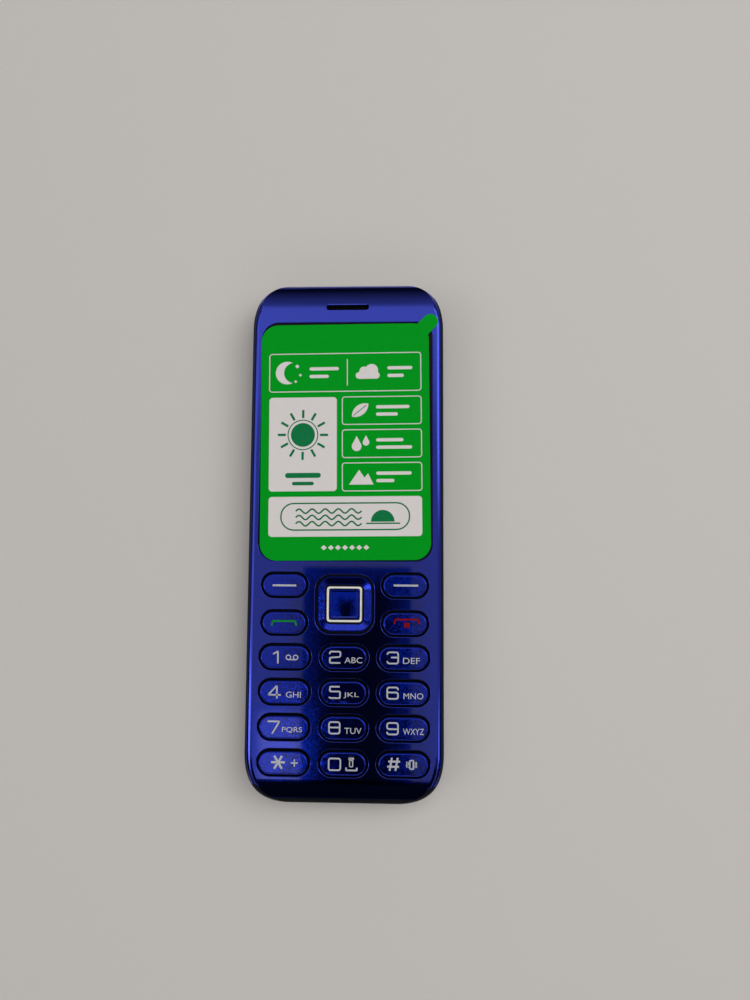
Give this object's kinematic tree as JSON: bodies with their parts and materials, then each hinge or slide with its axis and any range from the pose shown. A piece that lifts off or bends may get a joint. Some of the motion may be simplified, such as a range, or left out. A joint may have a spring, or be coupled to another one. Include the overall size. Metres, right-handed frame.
{
  "type": "feature phone",
  "caption": "Slim bar-shaped keypad phone with a colour screen under protective film, a digit keypad, a rocker round an OK key, and a snap-off battery cover.",
  "frame": {"origin": "under the middle of the body, on the back face it rests on", "axes": "+Z out of the screen and keys, +Y towards the end with the earpiece, +X to the user's right"},
  "size_m": [0.05, 0.1326, 0.0117],
  "materials": {
    "housing_paint": "glossy metallic blue paint on plastic",
    "band_paint": "glossy metallic blue paint on plastic",
    "cover_paint": "glossy metallic blue paint on plastic",
    "key_paint": "glossy metallic blue paint with pearl flakes",
    "ring_paint": "glossy metallic blue paint with pearl flakes",
    "ok_paint": "glossy metallic blue paint",
    "bright_chrome": "bright plating",
    "trim_chrome": "bright plating",
    "nav_silicone": "translucent silicone",
    "lens_black": "clear acrylic printed black round the display",
    "film": "thin glossy film, printed green and off-white",
    "adhesive_tape": "black double-sided tape",
    "foam": "black closed foam",
    "mat_silicone": "translucent silicone",
    "dome_foil": "clear film over steel domes",
    "circuit_board": "green solder resist",
    "tray_steel": "folded sheet",
    "light_guide": "milky light guide",
    "display_panel": "dark unlit display",
    "earpiece_steel": "fine woven mesh",
    "receiver_black": "moulded black",
    "battery_wrap": "printed-free dark wrap",
    "contact_gold": "gold plated",
    "connector_black": "moulded black",
    "socket_steel": "stamped sheet",
    "can_steel": "tinned sheet",
    "chip_black": "moulded black",
    "camera_black": "moulded black",
    "clear_window": "clear, polished",
    "speaker_black": "moulded black",
    "speaker_cloth": "fine black cloth",
    "jack_black": "moulded black",
    "usb_steel": "drawn shell",
    "led_white": "white body with yellow phosphor",
    "motor_steel": "turned case",
    "weight_metal": "sintered metal",
    "mic_steel": "small steel can",
    "antenna_copper": "copper strip on a carrier",
    "screw_steel": "zinc plated"
  },
  "bodies": {
    "body": {"front_housing": "housing_paint", "rear_chassis": "band_paint", "camera_trim": "trim_chrome", "screen_lens": "lens_black", "protective_film": "film", "lens_tape": "adhesive_tape", "display_gasket": "foam", "keypad_mat": "mat_silicone", "dome_sheet": "dome_foil", "main_board": "circuit_board", "display_tray": "tray_steel", "display_backlight": "light_guide", "display_glass": "display_panel", "earpiece_mesh": "earpiece_steel", "earpiece_receiver": "receiver_black", "battery_contacts": "contact_gold", "sim_contacts": "contact_gold", "battery_connector": "connector_black", "sim_socket_left": "socket_steel", "sim_socket_right": "socket_steel", "memory_socket": "socket_steel", "shield_can_radio": "can_steel", "shield_can_logic": "can_steel", "processor": "chip_black", "camera_module": "camera_black", "camera_window": "clear_window", "torch_lens": "clear_window", "loudspeaker": "speaker_black", "speaker_mesh": "speaker_cloth", "headphone_jack": "jack_black", "usb_socket": "usb_steel", "torch_led": "led_white", "vibration_motor": "motor_steel", "microphone": "mic_steel", "antenna": "antenna_copper", "housing_screws": "screw_steel"},
    "key_soft_left": {"key_soft_left": "key_paint"},
    "key_soft_right": {"key_soft_right": "key_paint"},
    "key_call": {"key_call": "key_paint"},
    "key_end": {"key_end": "key_paint"},
    "key_1": {"key_1": "key_paint"},
    "key_2": {"key_2": "key_paint"},
    "key_3": {"key_3": "key_paint"},
    "key_4": {"key_4": "key_paint"},
    "key_5": {"key_5": "key_paint"},
    "key_6": {"key_6": "key_paint"},
    "key_7": {"key_7": "key_paint"},
    "key_8": {"key_8": "key_paint"},
    "key_9": {"key_9": "key_paint"},
    "key_star": {"key_star": "key_paint"},
    "key_0": {"key_0": "key_paint"},
    "key_hash": {"key_hash": "key_paint"},
    "ok_key": {"ok_key": "ok_paint"},
    "rocker_plate": {"nav_plate": "nav_silicone"},
    "rocker": {"nav_ring": "ring_paint", "nav_frame": "bright_chrome"},
    "battery_cover": {"battery_cover": "cover_paint"},
    "battery": {"battery": "battery_wrap", "battery_terminals": "contact_gold"},
    "vibration_weight": {"vibration_weight": "weight_metal"}
  },
  "joints": [
    {"name": "key_soft_left_press", "type": "slide", "parent": "body", "child": "key_soft_left", "axis": [0, 0, -1], "range_m": [0, 0.0003], "stiffness_N_per_m": 4500, "deforming": ["keypad_mat"]},
    {"name": "key_soft_right_press", "type": "slide", "parent": "body", "child": "key_soft_right", "axis": [0, 0, -1], "range_m": [0, 0.0003], "stiffness_N_per_m": 4500, "deforming": ["keypad_mat"]},
    {"name": "key_call_press", "type": "slide", "parent": "body", "child": "key_call", "axis": [0, 0, -1], "range_m": [0, 0.0003], "stiffness_N_per_m": 4500, "deforming": ["keypad_mat"]},
    {"name": "key_end_press", "type": "slide", "parent": "body", "child": "key_end", "axis": [0, 0, -1], "range_m": [0, 0.0003], "stiffness_N_per_m": 4500, "deforming": ["keypad_mat"]},
    {"name": "key_1_press", "type": "slide", "parent": "body", "child": "key_1", "axis": [0, 0, -1], "range_m": [0, 0.0003], "stiffness_N_per_m": 4500, "deforming": ["keypad_mat"]},
    {"name": "key_2_press", "type": "slide", "parent": "body", "child": "key_2", "axis": [0, 0, -1], "range_m": [0, 0.0003], "stiffness_N_per_m": 4500, "deforming": ["keypad_mat"]},
    {"name": "key_3_press", "type": "slide", "parent": "body", "child": "key_3", "axis": [0, 0, -1], "range_m": [0, 0.0003], "stiffness_N_per_m": 4500, "deforming": ["keypad_mat"]},
    {"name": "key_4_press", "type": "slide", "parent": "body", "child": "key_4", "axis": [0, 0, -1], "range_m": [0, 0.0003], "stiffness_N_per_m": 4500, "deforming": ["keypad_mat"]},
    {"name": "key_5_press", "type": "slide", "parent": "body", "child": "key_5", "axis": [0, 0, -1], "range_m": [0, 0.0003], "stiffness_N_per_m": 4500, "deforming": ["keypad_mat"]},
    {"name": "key_6_press", "type": "slide", "parent": "body", "child": "key_6", "axis": [0, 0, -1], "range_m": [0, 0.0003], "stiffness_N_per_m": 4500, "deforming": ["keypad_mat"]},
    {"name": "key_7_press", "type": "slide", "parent": "body", "child": "key_7", "axis": [0, 0, -1], "range_m": [0, 0.0003], "stiffness_N_per_m": 4500, "deforming": ["keypad_mat"]},
    {"name": "key_8_press", "type": "slide", "parent": "body", "child": "key_8", "axis": [0, 0, -1], "range_m": [0, 0.0003], "stiffness_N_per_m": 4500, "deforming": ["keypad_mat"]},
    {"name": "key_9_press", "type": "slide", "parent": "body", "child": "key_9", "axis": [0, 0, -1], "range_m": [0, 0.0003], "stiffness_N_per_m": 4500, "deforming": ["keypad_mat"]},
    {"name": "key_star_press", "type": "slide", "parent": "body", "child": "key_star", "axis": [0, 0, -1], "range_m": [0, 0.0003], "stiffness_N_per_m": 4500, "deforming": ["keypad_mat"]},
    {"name": "key_0_press", "type": "slide", "parent": "body", "child": "key_0", "axis": [0, 0, -1], "range_m": [0, 0.0003], "stiffness_N_per_m": 4500, "deforming": ["keypad_mat"]},
    {"name": "key_hash_press", "type": "slide", "parent": "body", "child": "key_hash", "axis": [0, 0, -1], "range_m": [0, 0.0003], "stiffness_N_per_m": 4500, "deforming": ["keypad_mat"]},
    {"name": "ok_key_press", "type": "slide", "parent": "body", "child": "ok_key", "axis": [0, 0, -1], "range_m": [0, 0.0003], "stiffness_N_per_m": 4500, "deforming": ["keypad_mat"]},
    {"name": "rocker_up_down", "type": "hinge", "parent": "body", "child": "rocker_plate", "pos_m": [0, -0.01722, 0.0092], "axis": [1, 0, 0], "range_deg": [-2.5, 2.5], "stiffness_Nm_per_rad": 0.2, "deforming": ["keypad_mat"]},
    {"name": "rocker_left_right", "type": "hinge", "parent": "rocker_plate", "child": "rocker", "pos_m": [0, -0.01722, 0.0092], "axis": [0, 1, 0], "range_deg": [-2.5, 2.5], "stiffness_Nm_per_rad": 0.2, "deforming": ["keypad_mat"]},
    {"name": "cover_lift", "type": "slide", "parent": "body", "child": "battery_cover", "axis": [0, 0, -1], "range_m": [0, 0.024]},
    {"name": "battery_lift", "type": "slide", "parent": "body", "child": "battery", "axis": [0, 0, -1], "range_m": [0, 0.012]},
    {"name": "weight_spin", "type": "hinge", "parent": "body", "child": "vibration_weight", "pos_m": [0.021, 0.0155, 0.0049], "axis": [0, 1, 0], "continuous": true}
  ],
  "couplings": [
    {"joint": "battery_lift", "follows": "cover_lift", "ratio": 0.5}
  ]
}
